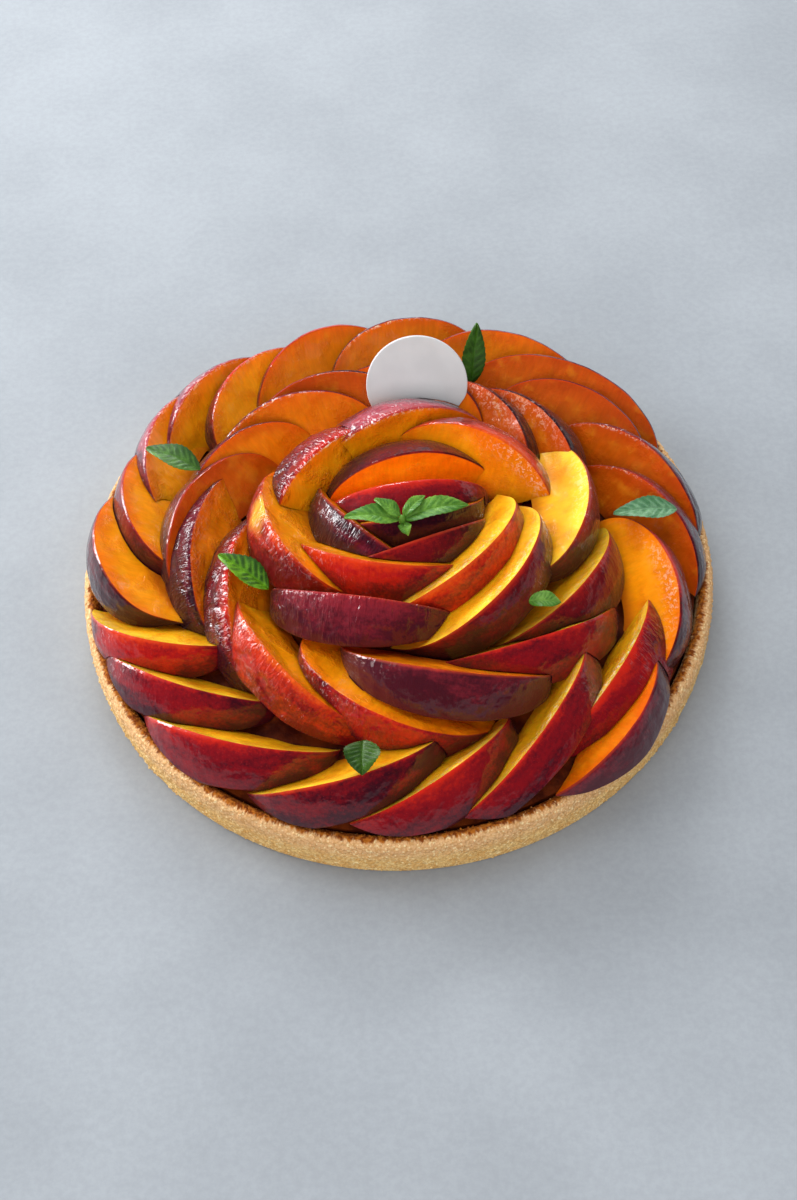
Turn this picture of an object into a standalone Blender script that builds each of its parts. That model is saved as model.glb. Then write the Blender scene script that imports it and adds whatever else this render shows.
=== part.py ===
"""Peach tart, 22 cm across: a shortcrust shell heaped with skin-on peach slices.

The slices lie in three rings, like the petals of a rose. A white plaque stands behind the rose, and
mint leaves are tucked in between. Metres, +Z up. The shell's underside is at z = 0 with its centre at
the origin, and the front of the tart faces -Y. A bearing is an angle in degrees round the tart,
anticlockwise from +X as seen from above.
"""
import math
import random
from collections import namedtuple

import bmesh
import bpy
import numpy as np
from mathutils import Euler, Matrix, Vector
from mathutils.bvhtree import BVHTree

# ---- gaps and mesh fineness -------------------------------------------------------------------
GAP = 0.00035              # air left between pieces that touch
SLICE_STATIONS = 12        # steps along a slice, from tip to tip
SKIN_STEPS = 4             # steps across a slice's skin
SHELL_STEPS = 72           # steps round the pastry shell
BED_STEPS = 40             # steps round the filling
PLAQUE_STEPS = 40
LEAF_STATIONS = 8
WELD = 0.00005             # points closer than this are one
FINE_WELD = 0.000001       # the same, where that would close a thin gap
FLAT_ANGLE = math.radians(1.5)  # faces closer to one plane than this are joined
SHARP_ANGLE = math.radians(32)  # edges that bend more than this are shaded as creases

# ---- pastry shell and filling -------------------------------------------------------------------
SHELL_FOOT_RADIUS = 0.1085
SHELL_RADIUS = 0.1098
SHELL_HEIGHT = 0.0185
SHELL_WALL = 0.0060
SHELL_FLOOR = 0.0050
CRUMB_RELIEF = 0.0005      # how far the sandy side swells and sinks
RIM_RELIEF = 0.0006        # how far the baked rim rises and dips
FILLING_EDGE_HEIGHT = 0.0168
FILLING_CROWN = (          # the filling's top: share of its radius, height
    (1.00, FILLING_EDGE_HEIGHT),
    (0.93, 0.0184),
    (0.78, 0.0202),
    (0.54, 0.0236),
    (0.30, 0.0275),
)
FILLING_TOP = 0.0285

# ---- peach slices -------------------------------------------------------------------------------
PEACH_RADIUS = 0.032       # from the stone's axis to the skin, at the widest
PEACH_HALF_LENGTH = 0.034  # from the middle of the peach to its stem or its tip
STONE_RADIUS = 0.0100
STONE_HALF_LENGTH = 0.0165
THIN_EDGE = 0.0012         # from the core line to a slice's thin edge, beyond the stone
STEM_DIMPLE = 0.10         # share of the size lost where the stem end dips in
DIMPLE_SPREAD = 22.0       # degrees of latitude that the stem dip covers
SHOULDER = 0.90            # below 1 the ends of a peach are fuller than an ellipse's
CORE_SHARE = 0.84          # the core line's length against the peach's, so that it ends inside the dip

Slice = namedtuple("Slice", "bearing radius turn incline opening lift stretch", defaults=(0.0, 1.0))
Ring = namedtuple("Ring", "name rim_height pitch sense slices")
# A slice is placed by the middle of the edge between its skin and its upper cut face:
#   bearing and radius say where that point is, turn how far the leading end swings inwards,
#   incline how steeply the cut face climbs outwards, opening the angle that the slice was cut at,
#   lift how much higher than its ring it lies, stretch how long it is against the others.
# A ring's sense is 1 where the leading end points anticlockwise, -1 where it points clockwise, and
# its pitch is how far the leading end is raised. Each slice rests on those that come before it in
# its ring, and the rings are listed from the lowest to the highest.
OUTER = Ring("outer_slice", 0.037, 10, 1, (
    Slice(164, 0.0975, 17, 35, 32),
    Slice(144, 0.1000, 10, 42, 35),
    Slice(131, 0.0992, 10, 52, 35, 0.0, 1.08),
    Slice(121, 0.0950, 12, 40, 33),
    Slice(104, 0.0965, 12, 40, 34),
    Slice(84, 0.0975, 14, 40, 35),
    Slice(61, 0.0985, 16, 38, 34, 0.0, 1.07),
    Slice(43, 0.0992, 19, 38, 34, 0.0, 1.20),
    Slice(38, 0.0930, 22, 38, 30),
    Slice(17, 0.0960, 25, 49, 34, 0.0, 1.08),
    Slice(4, 0.0943, 28, 49, 33, -0.001, 1.04),
    Slice(345, 0.0955, 22, 39, 33),
    Slice(311, 0.1062, 7, 40, 26, -0.006, 1.08),
    Slice(319, 0.0908, 5, 60, 46, -0.002, 1.14),
    Slice(298, 0.0908, 22, 57, 26, 0.0, 1.22),
    Slice(275, 0.0945, 23, 51, 32, -0.003, 1.08),
    Slice(257, 0.0960, 22, 45, 29, -0.001, 1.08),
    Slice(230, 0.0970, 17, 50, 32, -0.003, 1.14),
    Slice(213, 0.0940, 28, 50, 28, -0.003, 1.10),
    Slice(202, 0.0953, 42, 41, 28, -0.002, 0.90),
    Slice(177, 0.1030, 8, 32, 31),
))
MIDDLE = Ring("middle_slice", 0.043, 8, -1, (
    Slice(44, 0.0700, 4, 50, 28, 0.0, 1.05),
    Slice(55, 0.0650, 18, 45, 28),
    Slice(83, 0.0700, 15, 45, 26),
    Slice(109, 0.0710, 15, 45, 26),
    Slice(125, 0.0690, 18, 45, 28),
    Slice(151, 0.0700, 13, 46, 28),
    Slice(167, 0.0730, 18, 46, 28),
    Slice(181, 0.0682, 9, 55, 34, 0.0, 1.06),
    Slice(199, 0.0595, 25, 53, 28, 0.0, 1.12),
    Slice(234, 0.0672, 13, 49, 30, 0.0, 1.08),
    Slice(285, 0.0668, 21, 50, 32, 0.006, 1.08),
    Slice(262, 0.0725, 20, 31, 28, -0.003, 1.10),
    Slice(315, 0.0676, 23, 54, 32, 0.0, 1.08),
    Slice(339, 0.0690, 14, 47, 34),
    Slice(7, 0.0670, 10, 29, 30, 0.003),
))
ROSE = Ring("rose_slice", 0.052, 8, 1, (
    Slice(317, 0.0495, 1, 38, 30, 0.0, 1.03),
    Slice(241, 0.0390, 12, 62, 31),
    Slice(181, 0.0430, 15, 43, 34, 0.0, 0.96),
    Slice(123, 0.0350, 5, 67, 28),
    Slice(84, 0.0400, 26, 70, 30, 0.0, 1.12),
    Slice(40, 0.0440, 22, 60, 28),
    Slice(314, 0.0350, -6, 41, 28),
    Slice(235, 0.0260, 13, 40, 28),
    Slice(68, 0.0230, 30, 72, 24),
    Slice(274, 0.0170, 8, 55, 26),
    Slice(199, 0.0160, 20, 53, 28),
    Slice(252, 0.0070, 18, 45, 26),
    Slice(274, -0.0090, 0, 78, 26),
))
RINGS = (OUTER, MIDDLE, ROSE)

# ---- plaque -------------------------------------------------------------------------------------
PLAQUE_RADIUS = 0.0179
PLAQUE_THICKNESS = 0.0014
PLAQUE_EDGE = 0.0003
PLAQUE_PLACE = (0.0104, 0.0582, 0.0440)
PLAQUE_LEAN = 31           # degrees that it leans back from upright

# ---- mint leaves --------------------------------------------------------------------------------
LEAF_THICKNESS = 0.0006
Leaf = namedtuple("Leaf", "name foot tip width fold curl")
# foot and tip are the ends of the leaf's midrib, fold is how steeply the two halves rise from it in
# degrees, and curl is how far its middle stands above the line between the ends.
LOOSE_LEAVES = (
    Leaf("mint_leaf_left", (-0.0660, 0.0262, 0.041), (-0.0850, 0.0370, 0.041), 0.0085, 12, 0.0020),
    Leaf("mint_leaf_front_left", (-0.0430, -0.0225, 0.038), (-0.0592, -0.0110, 0.043), 0.0085, 25, 0.0015),
    Leaf("mint_leaf_right", (0.0960, 0.0033, 0.040), (0.0742, 0.0022, 0.041), 0.0085, 10, 0.0015),
    Leaf("mint_leaf_front_right", (0.0420, -0.0362, 0.044), (0.0525, -0.0366, 0.043), 0.0060, 14, 0.0010),
    Leaf("mint_leaf_front", (-0.0138, -0.0805, 0.036), (-0.0146, -0.0925, 0.036), 0.0110, 8, 0.0015),
)
UPRIGHT_LEAF = Leaf("mint_leaf_back", (0.0300, 0.0665, 0.0330), (0.0332, 0.0803, 0.0500), 0.0080, 16, 0.0012)
SPRIG_NAME = "mint_sprig"
SPRIG_CENTRE = Vector((0.0024, -0.0078, 0.0520))
SPRIG_LEAVES = (           # bearing, length, width, height of the foot and of the tip
    (176, 0.0190, 0.0070, -0.0004, 0.0010),
    (8, 0.0225, 0.0075, -0.0002, 0.0015),
    (146, 0.0105, 0.0042, 0.0010, 0.0040),
    (38, 0.0100, 0.0040, 0.0012, 0.0040),
    (285, 0.0060, 0.0040, -0.0014, -0.0010),
)
SPRIG_STALK = (            # the stalk's turned profile: radius, height
    (0, -0.0021),
    (0.0014, -0.0018),
    (0.0012, 0.0014),
    (0, 0.0018),
)
STALK_STEPS = 8
SPRIG_LEAF_FOOT = 0.0007   # from the stalk's axis to where a leaf begins
SPRIG_FOLD = 14            # degrees that a leaf's halves rise from its midrib
SPRIG_CURL = 0.12          # share of its length that a leaf's middle stands up

# ---- colours ------------------------------------------------------------------------------------
Finish = namedtuple("Finish", "colour roughness")
FINISHES = {
    "pastry": Finish((0.64, 0.42, 0.21), 0.85),
    "filling": Finish((0.38, 0.14, 0.04), 0.45),
    "peach": Finish((0.55, 0.10, 0.03), 0.25),
    "plaque": Finish((0.86, 0.86, 0.88), 0.45),
    "mint": Finish((0.10, 0.30, 0.05), 0.45),
}


def clear_scene():
    for item in list(bpy.data.objects):
        bpy.data.objects.remove(item, do_unlink=True)


def make_materials():
    materials = {}
    for name, finish in FINISHES.items():
        material = bpy.data.materials.new(name)
        material.use_nodes = True
        shader = material.node_tree.nodes["Principled BSDF"]
        shader.inputs["Base Color"].default_value = (*finish.colour, 1.0)
        shader.inputs["Roughness"].default_value = finish.roughness
        materials[name] = material
    return materials


def mesh_object(name, points, faces):
    """Makes an object from points and faces, with every face pointing out."""
    mesh = bpy.data.meshes.new(name)
    mesh.from_pydata([tuple(point) for point in points], [], faces)
    shape = bmesh.new()
    shape.from_mesh(mesh)
    bmesh.ops.recalc_face_normals(shape, faces=shape.faces)
    shape.to_mesh(mesh)
    shape.free()
    item = bpy.data.objects.new(name, mesh)
    bpy.context.collection.objects.link(item)
    return item


# ---- solids of turned profiles -------------------------------------------------------------------
def turned_solid(name, profile, steps, relief=None):
    """Turns a profile of (radius, height) points, which starts and ends on the axis."""
    points = [Vector((0, 0, profile[0][1]))]
    for row, (radius, height) in enumerate(profile[1:-1]):
        for step in range(steps):
            angle = 2 * math.pi * step / steps
            out, up = relief(row, step) if relief else (0.0, 0.0)
            reach = radius + out
            points.append(Vector((reach * math.cos(angle), reach * math.sin(angle), height + up)))
    points.append(Vector((0, 0, profile[-1][1])))
    last = len(points) - 1
    faces = []
    for step in range(steps):
        after = (step + 1) % steps
        faces.append((0, 1 + after, 1 + step))
        for row in range(len(profile) - 3):
            low = 1 + row * steps
            high = low + steps
            faces.append((low + step, low + after, high + after, high + step))
        top = last - steps
        faces.append((top + step, top + after, last))
    return mesh_object(name, points, faces)


def shell_profile():
    inner = SHELL_RADIUS - SHELL_WALL
    return (
        (0, 0),
        (SHELL_FOOT_RADIUS, 0),
        (SHELL_RADIUS - 0.0003, 0.0025),
        (SHELL_RADIUS, 0.0070),
        (SHELL_RADIUS, 0.0115),
        (SHELL_RADIUS - 0.0003, 0.0155),
        (SHELL_RADIUS - 0.0014, SHELL_HEIGHT - 0.0006),
        (SHELL_RADIUS - 0.0034, SHELL_HEIGHT),
        (inner + 0.0008, SHELL_HEIGHT - 0.0008),
        (inner, FILLING_EDGE_HEIGHT - 0.0010),
        (inner - 0.0006, SHELL_FLOOR),
        (0, SHELL_FLOOR),
    )


def make_shell():
    """The pastry shell, with an uneven sandy side and a crumbly baked rim."""
    draw = random.Random(22)
    side_rows = range(2, 5)
    rim_rows = range(5, 8)
    phases = [draw.uniform(0, 2 * math.pi) for _ in range(3)]

    def relief(row, step):
        angle = 2 * math.pi * step / SHELL_STEPS
        if row in side_rows:
            return draw.uniform(-CRUMB_RELIEF, CRUMB_RELIEF), 0.0
        if row in rim_rows:
            wave = sum(math.sin(count * angle + phase) for count, phase in zip((5, 9, 17), phases)) / 3
            return draw.uniform(-CRUMB_RELIEF, 0), RIM_RELIEF * wave + draw.uniform(-0.0003, 0.0003)
        return 0.0, 0.0

    return turned_solid("pastry_shell", shell_profile(), SHELL_STEPS, relief)


def filling_radius():
    return SHELL_RADIUS - SHELL_WALL - 0.0006 - GAP


def make_filling():
    radius = filling_radius()
    profile = [(0, SHELL_FLOOR + GAP), (radius, SHELL_FLOOR + GAP)]
    profile += [(share * radius, height) for share, height in FILLING_CROWN]
    profile.append((0, FILLING_TOP))
    return turned_solid("filling", profile, BED_STEPS)


def make_bed_cutter():
    """What the slices rest on: the filling and the shell's rim with the gap added, as one blank."""
    radius = filling_radius()
    rim_top = SHELL_HEIGHT + RIM_RELIEF + 0.0003 + GAP
    profile = [(0, -0.02), (0.125, -0.02), (0.125, rim_top), (SHELL_RADIUS - SHELL_WALL - GAP, rim_top)]
    profile += [(share * radius, height + GAP) for share, height in FILLING_CROWN[1:]]
    profile.append((0, FILLING_TOP + GAP))
    return turned_solid("bed_cutter", profile, BED_STEPS)


# ---- peach slices --------------------------------------------------------------------------------
def slice_section(share, half_length, radius):
    """Place along a peach and its skin radius there, from its tip (0) to its stem (1)."""
    linear = 2 * share - 1
    crowded = math.sin(0.5 * math.pi * linear)
    latitude = 45 * (linear + crowded)
    dip = 1 - STEM_DIMPLE * math.exp(-((90 - latitude) / DIMPLE_SPREAD) ** 2)
    along = half_length * math.sin(math.radians(latitude)) * dip
    reach = radius * max(math.cos(math.radians(latitude)), 0.0) ** SHOULDER * dip
    return along, reach


def slice_mesh(item, stem_first, spread=0.0, whole=False):
    """Points (along, out, up) and faces of a slice that lies with its mid-line outwards.

    spread moves every face outwards. whole leaves out the hollow of the stone.
    """
    half_angle = math.radians(item.opening) / 2
    half_length = PEACH_HALF_LENGTH * item.stretch + spread
    radius = PEACH_RADIUS + spread
    back = -spread / math.sin(half_angle) if spread else 0.0
    points = []
    rings = []
    for station in range(SLICE_STATIONS + 1):
        share = station / SLICE_STATIONS
        along, reach = slice_section(1 - share if stem_first else share, half_length, radius)
        if stem_first:
            along = -along
        reach -= back
        if station in (0, SLICE_STATIONS):
            points.append((along, back if whole else 0.0, 0.0))
            rings.append([len(points) - 1])
            continue
        section = []
        for step in range(SKIN_STEPS + 1):
            angle = half_angle * (2 * step / SKIN_STEPS - 1)
            section.append((along, back + reach * math.cos(angle), reach * math.sin(angle)))
        core = CORE_SHARE * half_length * math.sin(math.pi * (share - 0.5))
        if whole:
            section.append((core, back, 0.0))
        else:
            hollow = STONE_RADIUS * math.sqrt(max(0.0, 1 - (core / STONE_HALF_LENGTH) ** 2))
            hollow = min(max(hollow, THIN_EDGE), 0.8 * reach)
            for side in (1, -1):
                angle = side * half_angle
                section.append((core, hollow * math.cos(angle), hollow * math.sin(angle)))
        rings.append(list(range(len(points), len(points) + len(section))))
        points += section
    return points, bridge_rings(rings)


def bridge_rings(rings):
    """Faces between rings of point numbers; the first and the last ring are single points."""
    faces = []
    for first, second in zip(rings, rings[1:]):
        count = max(len(first), len(second))
        for step in range(count):
            after = (step + 1) % count
            if len(first) == 1:
                faces.append((first[0], second[after], second[step]))
            elif len(second) == 1:
                faces.append((first[step], first[after], second[0]))
            else:
                faces.append((first[step], first[after], second[after], second[step]))
    return faces


def slice_placement(ring, item):
    """Matrix that puts a slice mesh in its place in the tart."""
    bearing = math.radians(item.bearing)
    outward = Vector((math.cos(bearing), math.sin(bearing), 0))
    around = Vector((-math.sin(bearing), math.cos(bearing), 0)) * ring.sense
    turn = math.radians(item.turn)
    lead = around * math.cos(turn) - outward * math.sin(turn)
    square = outward * math.cos(turn) + around * math.sin(turn)
    pitch = math.radians(ring.pitch)
    up = Vector((0, 0, 1))
    along = lead * math.cos(pitch) + up * math.sin(pitch)
    over = up * math.cos(pitch) - lead * math.sin(pitch)
    face_angle = math.radians(item.incline)
    mid_angle = face_angle - math.radians(item.opening) / 2
    out = square * math.cos(mid_angle) + over * math.sin(mid_angle)
    rise = over * math.cos(mid_angle) - square * math.sin(mid_angle)
    edge = square * math.cos(face_angle) + over * math.sin(face_angle)
    middle = outward * item.radius + up * (ring.rim_height + item.lift)
    axes = Matrix((along, out, rise)).transposed().to_4x4()
    return Matrix.Translation(middle - edge * PEACH_RADIUS) @ axes


def slice_points(ring, item, number, **options):
    points, faces = slice_mesh(item, stem_first=number % 3 == 1, **options)
    placement = slice_placement(ring, item)
    return [placement @ Vector(point) for point in points], faces


# ---- cutting -------------------------------------------------------------------------------------
def boxes_meet(first, second):
    low_first, high_first = box_of(first)
    low_second, high_second = box_of(second)
    return bool(np.all(low_first < high_second) and np.all(low_second < high_first))


def box_of(item):
    corners = np.array([vertex.co for vertex in item.data.vertices])
    return corners.min(axis=0), corners.max(axis=0)


def apply_booleans(item, others, operation):
    """Applies one Boolean for each of the other objects to the item's mesh."""
    for other in others:
        modifier = item.modifiers.new("boolean", "BOOLEAN")
        modifier.operation = operation
        modifier.solver = "EXACT"
        modifier.object = other
    graph = bpy.context.evaluated_depsgraph_get()
    mesh = bpy.data.meshes.new_from_object(item.evaluated_get(graph))
    item.modifiers.clear()
    item.data = mesh


def islands_of(shape):
    """Groups of faces that hang together."""
    left = set(shape.faces)
    groups = []
    while left:
        group = set()
        front = [left.pop()]
        while front:
            face = front.pop()
            group.add(face)
            for edge in face.edges:
                for neighbour in edge.link_faces:
                    if neighbour in left:
                        left.remove(neighbour)
                        front.append(neighbour)
        groups.append(group)
    return groups


def enclosed_volume(faces):
    total = 0.0
    for face in faces:
        anchor = face.verts[0].co
        for second, third in zip(face.verts[1:], face.verts[2:]):
            total += anchor.dot(second.co.cross(third.co)) / 6
    return total


def is_closed(shape):
    return all(len(edge.link_faces) == 2 for edge in shape.edges)


def keep_largest_body(item):
    """Drops the scraps that a cut leaves behind, and joins faces in one plane where that keeps it closed."""
    for weld, flatten in ((WELD, True), (FINE_WELD, True), (FINE_WELD, False)):
        shape = bmesh.new()
        shape.from_mesh(item.data)
        bmesh.ops.remove_doubles(shape, verts=shape.verts, dist=weld)
        groups = islands_of(shape)
        largest = max(groups, key=enclosed_volume)
        scraps = [face for group in groups if group is not largest for face in group]
        bmesh.ops.delete(shape, geom=scraps, context="FACES")
        loose = [vertex for vertex in shape.verts if not vertex.link_faces]
        bmesh.ops.delete(shape, geom=loose, context="VERTS")
        if flatten:
            bmesh.ops.dissolve_limit(shape, angle_limit=FLAT_ANGLE, verts=shape.verts, edges=shape.edges)
        bmesh.ops.triangulate(shape, faces=shape.faces)
        closed = is_closed(shape)
        if closed or not flatten:
            shape.to_mesh(item.data)
        shape.free()
        if closed:
            break


def make_slices(bed_cutter):
    """All the slices, each cut back where it rests on the bed and on the slices before it."""
    slices = []
    blanks = []
    for ring in RINGS:
        for number, row in enumerate(ring.slices):
            name = f"{ring.name}_{number + 1:02d}"
            item = mesh_object(name, *slice_points(ring, row, number))
            cutters = [blank for blank in blanks if boxes_meet(item, blank)]
            apply_booleans(item, cutters + [bed_cutter], "DIFFERENCE")
            keep_largest_body(item)
            slices.append(item)
            blank = slice_points(ring, row, number, spread=GAP, whole=True)
            blanks.append(mesh_object(f"{name}_blank", *blank))
    return slices, blanks


# ---- plaque --------------------------------------------------------------------------------------
def make_plaque(blanks):
    """A thin round plaque that leans back, cut back where it is pushed in between the slices."""
    half = PLAQUE_THICKNESS / 2
    profile = (
        (0, -half),
        (PLAQUE_RADIUS - PLAQUE_EDGE, -half),
        (PLAQUE_RADIUS, -half + PLAQUE_EDGE),
        (PLAQUE_RADIUS, half - PLAQUE_EDGE),
        (PLAQUE_RADIUS - PLAQUE_EDGE, half),
        (0, half),
    )
    item = turned_solid("plaque", profile, PLAQUE_STEPS)
    facing = Euler((math.radians(90 - PLAQUE_LEAN), 0, 0)).to_matrix().to_4x4()
    item.data.transform(Matrix.Translation(PLAQUE_PLACE) @ facing)
    apply_booleans(item, [blank for blank in blanks if boxes_meet(item, blank)], "DIFFERENCE")
    keep_largest_body(item)
    return item


# ---- mint leaves ---------------------------------------------------------------------------------
def leaf_points(foot, tip, width, fold, curl, upwards):
    """Points and faces of one thin leaf from foot to tip, folded along its midrib and toothed."""
    foot = Vector(foot)
    tip = Vector(tip)
    along = (tip - foot).normalized()
    side = upwards.cross(along).normalized()
    up = along.cross(side)
    rise = math.tan(math.radians(fold))
    columns = (-1.0, -0.5, 0.0, 0.5, 1.0)
    upper = []
    for station in range(LEAF_STATIONS + 1):
        share = station / LEAF_STATIONS
        half = 0.5 * width * max(math.sin(math.pi * share ** 0.8), 0.0) ** 0.8 + 0.00025
        if 0 < station < LEAF_STATIONS:
            half *= 1.07 if station % 2 else 0.95
        spine = foot.lerp(tip, share) + up * (4 * curl * share * (1 - share))
        for column in columns:
            ripple = 0.0004 * math.sin(9 * share + 2 * column) * abs(column)
            upper.append(spine + side * (half * column) + up * (half * abs(column) * rise + ripple))
    lower = [point - up * LEAF_THICKNESS for point in upper]
    return upper + lower, leaf_faces(len(columns))


def leaf_faces(width):
    """Triangles of a leaf's two faces, split alike, and of its edge."""
    count = (LEAF_STATIONS + 1) * width
    faces = []
    for station in range(LEAF_STATIONS):
        for column in range(width - 1):
            corner = station * width + column
            right = corner + 1
            ahead = corner + width
            across = ahead + 1
            upper = ((corner, right, across), (corner, across, ahead))
            faces += upper
            faces += [tuple(count + number for number in reversed(face)) for face in upper]
    for line in leaf_border(width):
        for first, second in zip(line, line[1:]):
            faces += [(first, second, count + second), (first, count + second, count + first)]
    return faces


def leaf_border(width):
    last = LEAF_STATIONS * width
    left = [station * width for station in range(LEAF_STATIONS + 1)]
    right = [start + width - 1 for start in left]
    return left, right, list(range(width)), list(range(last, last + width))


def surface_below(items):
    """A tree of the items' faces, to find how high the fruit stands under a point."""
    points = []
    faces = []
    for item in items:
        offset = len(points)
        points += [vertex.co.copy() for vertex in item.data.vertices]
        faces += [tuple(offset + number for number in face.vertices) for face in item.data.polygons]
    return BVHTree.FromPolygons(points, faces)


def settle(item, surface):
    """Moves a leaf straight down or up until it just rests on the fruit."""
    ceiling = 0.2
    down = Vector((0, 0, -1))
    lift = -ceiling
    samples = [vertex.co.copy() for vertex in item.data.vertices]
    for edge in item.data.edges:
        first, second = (item.data.vertices[number].co for number in edge.vertices)
        samples += [first.lerp(second, share) for share in (0.25, 0.5, 0.75)]
    for point in samples:
        hit = surface.ray_cast(Vector((point.x, point.y, ceiling)), down)[0]
        if hit:
            lift = max(lift, hit.z - point.z)
    item.data.transform(Matrix.Translation((0, 0, lift + 2 * GAP)))


def make_loose_leaves(surface):
    leaves = []
    for row in LOOSE_LEAVES:
        upwards = Vector((0, 0, 1))
        points, faces = leaf_points(row.foot, row.tip, row.width, row.fold, row.curl, upwards)
        leaf = mesh_object(row.name, points, faces)
        settle(leaf, surface)
        leaves.append(leaf)
    return leaves


def make_upright_leaf(blanks):
    """The leaf that stands behind the rose, cut off where it goes down between the slices."""
    row = UPRIGHT_LEAF
    facing_front = Vector((0, -1, 0.6))
    points, faces = leaf_points(row.foot, row.tip, row.width, row.fold, row.curl, facing_front)
    leaf = mesh_object(row.name, points, faces)
    apply_booleans(leaf, [blank for blank in blanks if boxes_meet(leaf, blank)], "DIFFERENCE")
    keep_largest_body(leaf)
    return leaf


def make_sprig(surface):
    """Five leaves joined at a short stalk."""
    parts = []
    for bearing, length, width, foot_height, tip_height in SPRIG_LEAVES:
        angle = math.radians(bearing)
        heading = Vector((math.cos(angle), math.sin(angle), 0))
        foot = SPRIG_CENTRE + heading * SPRIG_LEAF_FOOT + Vector((0, 0, foot_height))
        tip = SPRIG_CENTRE + heading * length + Vector((0, 0, tip_height))
        points, faces = leaf_points(foot, tip, width, SPRIG_FOLD, SPRIG_CURL * length, Vector((0, 0, 1)))
        parts.append(mesh_object("sprig_part", points, faces))
    sprig = turned_solid(SPRIG_NAME, SPRIG_STALK, STALK_STEPS)
    sprig.data.transform(Matrix.Translation(SPRIG_CENTRE))
    apply_booleans(sprig, parts, "UNION")
    keep_largest_body(sprig)
    for part in parts:
        bpy.data.objects.remove(part, do_unlink=True)
    settle(sprig, surface)
    return sprig


def finish_looks(items, material):
    for item in items:
        item.data.materials.append(material)
        item.data.shade_smooth()
        item.data.set_sharp_from_angle(angle=SHARP_ANGLE)


def build():
    clear_scene()
    shell = make_shell()
    filling = make_filling()
    bed_cutter = make_bed_cutter()
    slices, blanks = make_slices(bed_cutter)
    plaque = make_plaque(blanks + [bed_cutter])
    surface = surface_below(slices + [shell])
    leaves = make_loose_leaves(surface)
    leaves.append(make_upright_leaf(blanks + [bed_cutter]))
    leaves.append(make_sprig(surface))
    for blank in blanks + [bed_cutter]:
        bpy.data.objects.remove(blank, do_unlink=True)
    materials = make_materials()
    finish_looks([shell], materials["pastry"])
    finish_looks([filling], materials["filling"])
    finish_looks([plaque], materials["plaque"])
    finish_looks(slices, materials["peach"])
    finish_looks(leaves, materials["mint"])


build()
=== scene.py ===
"""Looks of a peach tart: glazed slices with their skin on, a sandy shell, a blank white plaque and mint.

Metres, +Z up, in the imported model's frame. The sizes and places of the pieces repeat those of the solids,
and every piece replaces the node that it is named after.
"""
import math
from collections import namedtuple

import bmesh
import bpy
import numpy as np
from mathutils import Euler, Matrix, Vector


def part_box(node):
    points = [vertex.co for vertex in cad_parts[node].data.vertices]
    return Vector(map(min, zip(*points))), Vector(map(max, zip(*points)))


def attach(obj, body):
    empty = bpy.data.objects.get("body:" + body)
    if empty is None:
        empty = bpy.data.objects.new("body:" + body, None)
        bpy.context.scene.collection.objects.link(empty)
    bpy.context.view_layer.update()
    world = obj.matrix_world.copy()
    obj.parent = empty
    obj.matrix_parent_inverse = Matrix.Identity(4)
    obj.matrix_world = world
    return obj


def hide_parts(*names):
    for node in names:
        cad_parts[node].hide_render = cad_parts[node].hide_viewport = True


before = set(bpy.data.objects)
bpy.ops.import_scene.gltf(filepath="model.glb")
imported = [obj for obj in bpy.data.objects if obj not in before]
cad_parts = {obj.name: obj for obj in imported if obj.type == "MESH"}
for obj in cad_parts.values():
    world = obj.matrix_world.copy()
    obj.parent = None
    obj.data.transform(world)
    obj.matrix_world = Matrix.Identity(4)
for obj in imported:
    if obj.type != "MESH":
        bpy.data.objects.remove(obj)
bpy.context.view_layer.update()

BODY = "root"
UP = Vector((0, 0, 1))

# ==== the tart's sizes ====
GAP = 0.00035  # air left between pieces that touch
SHELL_FOOT_RADIUS = 0.1085
SHELL_RADIUS = 0.1098
SHELL_HEIGHT = 0.0185
SHELL_WALL = 0.0060
SHELL_FLOOR = 0.0050
SHELL_DRAFT = 0.0006  # how much the wall is thicker at its foot
LUMPS = 0.00020  # heights of the shell's lumps, of its grit and of its sand
GRIT = 0.00036
SAND = 0.00018
SUNK = 0.0003  # how far its side lies inwards, to make room for them
CRUMB_SIZE = 0.00020
CRUMB_GROWTH = 0.00034  # how much the largest crumbs are larger
CRUMBY_FOOT = 0.0060  # below this height crumbs are three times as common
RIM_START = 0.0150
RIM_RELIEF = 0.0006  # how far the baked rim rises and dips
RIM_WAVES = ((5, 0.7), (9, 2.1), (17, 4.0))  # waves round the rim, and where each one starts
FILLING_RADIUS = SHELL_RADIUS - SHELL_WALL - SHELL_DRAFT - GAP
FILLING_EDGE_HEIGHT = 0.0168
FILLING_CROWN = (  # the filling's top: share of its radius, height
    (1.00, FILLING_EDGE_HEIGHT), (0.93, 0.0184), (0.78, 0.0202), (0.54, 0.0236), (0.30, 0.0275))
FILLING_TOP = 0.0285

PEACH_RADIUS = 0.032  # from the stone's axis to the skin, at the widest
PEACH_HALF_LENGTH = 0.034  # from the middle of the peach to its stem or its tip
STONE_RADIUS = 0.0100
STONE_HALF_LENGTH = 0.0165
THIN_EDGE = 0.0012  # from the core line to a slice's thin edge, beyond the stone
STEM_DIMPLE = 0.10  # share of the size lost where the stem end dips in
DIMPLE_SPREAD = 22.0  # degrees of latitude that the stem dip covers
SHOULDER = 0.90  # below 1 the ends of a peach are fuller than an ellipse's
CORE_SHARE = 0.84  # the core line's length against the peach's
SKIN_SWELL = 0.00035  # how far the skin swells and sinks
SKIN_CRINKLE = 0.00016  # how deep the ripples of a fully wrinkled skin are
FACE_SAG = 0.0007  # how far a cut face has sunk in
KNIFE_WOBBLE = math.radians(0.9)
KNIFE_ROUND = 0.0006  # radius of the edge between skin and cut face
ON_SKIN = 0.0012  # what lies less deep than this is finished as skin

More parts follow.
